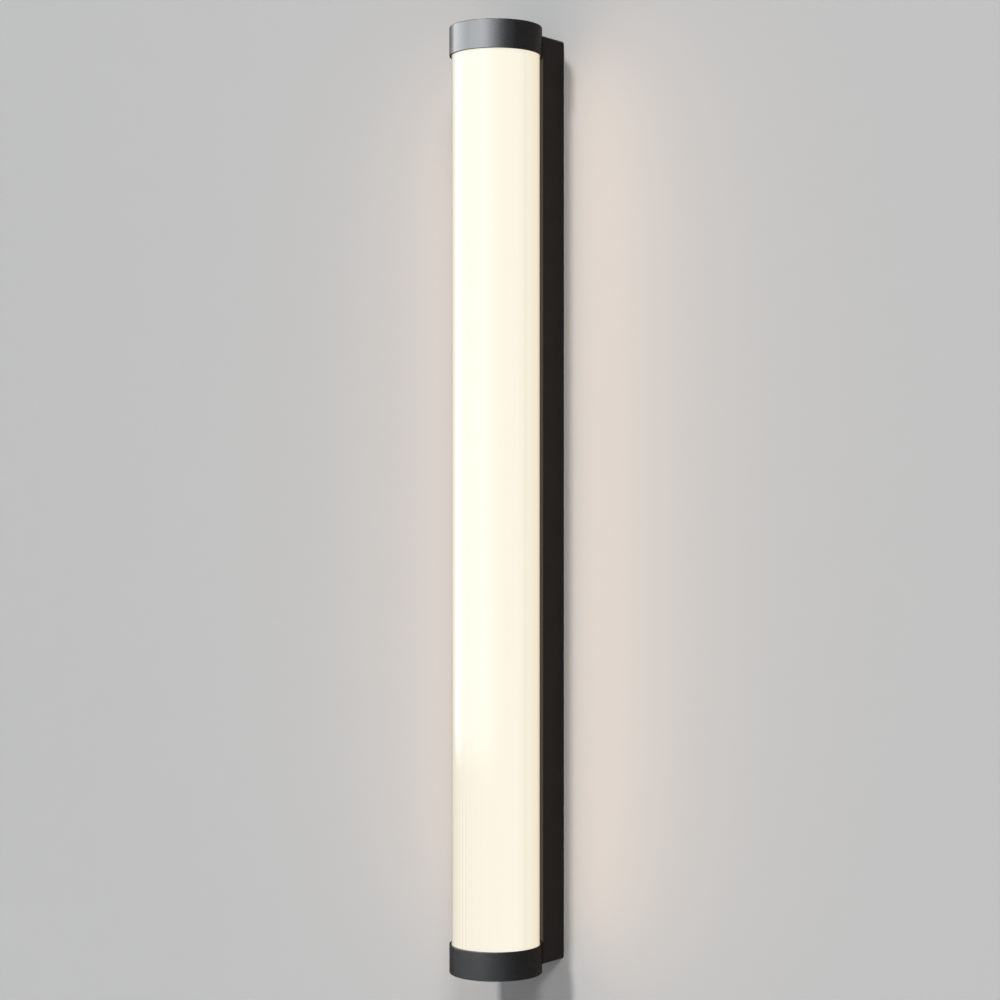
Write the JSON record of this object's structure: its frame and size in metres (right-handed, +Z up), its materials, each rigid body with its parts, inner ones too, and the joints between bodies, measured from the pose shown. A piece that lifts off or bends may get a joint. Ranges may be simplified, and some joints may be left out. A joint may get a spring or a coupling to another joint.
{
  "type": "tube wall light",
  "caption": "Upright LED tube wall light: an opal diffuser tube between two round end caps, cradled in a slim black housing that hangs on a screwed wall bracket.",
  "frame": {"origin": "on the wall plane, midway between the bracket's two fixing slots", "axes": "+X right along the wall, +Y into the wall, +Z up; the light looks along -Y"},
  "size_m": [0.059, 0.073, 0.6],
  "materials": {
    "zinc_steel": "zinc plated pressed steel",
    "black_rubber": "moulded rubber",
    "housing_black": "matt black powder coat on aluminium",
    "black_screw": "blackened steel",
    "black_foam": "closed-cell foam",
    "steel_screw": "bright zinc",
    "opal_lit": "opal acrylic, lit from inside",
    "cap_anthracite": "satin anthracite",
    "white_silicone": "silicone",
    "raw_aluminium": "mill-finish extrusion",
    "led_phosphor": "phosphor",
    "white_plastic": "moulded nylon",
    "driver_white": "moulded polycarbonate",
    "terminal_grey": "moulded polyamide",
    "tinned_brass": "tinned",
    "brown_pvc": "lead insulation",
    "blue_pvc": "lead insulation",
    "green_pvc": "lead insulation",
    "white_pvc": "lead sheath",
    "board_white": "white solder resist on aluminium"
  },
  "bodies": {
    "bracket": {"wall_bracket": "zinc_steel", "cable_grommet": "black_rubber"},
    "lamp": {"housing": "housing_black", "housing_end_top": "housing_black", "housing_end_bottom": "housing_black", "end_plate_screws": "black_screw", "locking_screws": "black_screw", "wall_gasket": "black_foam", "saddle_pads": "black_rubber", "carrier_screws": "steel_screw", "diffuser_tube": "opal_lit", "top_cap": "cap_anthracite", "bottom_cap": "cap_anthracite", "cap_seals": "white_silicone", "cap_screws": "black_screw", "led_carrier": "raw_aluminium", "led_chips": "led_phosphor", "board_connector": "white_plastic", "board_links": "white_plastic", "led_driver": "driver_white", "driver_screws": "steel_screw", "terminal_block": "terminal_grey", "terminal_screw": "steel_screw", "earth_tag": "tinned_brass", "earth_screw": "steel_screw", "live_lead": "brown_pvc", "neutral_lead": "blue_pvc", "earth_lead": "green_pvc", "led_lead": "white_pvc", "lead_bush": "black_rubber", "led_board_1": "board_white", "led_board_2": "board_white", "led_board_3": "board_white"}
  },
  "joints": [
    {"name": "lamp_lift_off", "type": "slide", "parent": "bracket", "child": "lamp", "axis": [0, -1, 0], "range_m": [0, 0.03]}
  ]
}
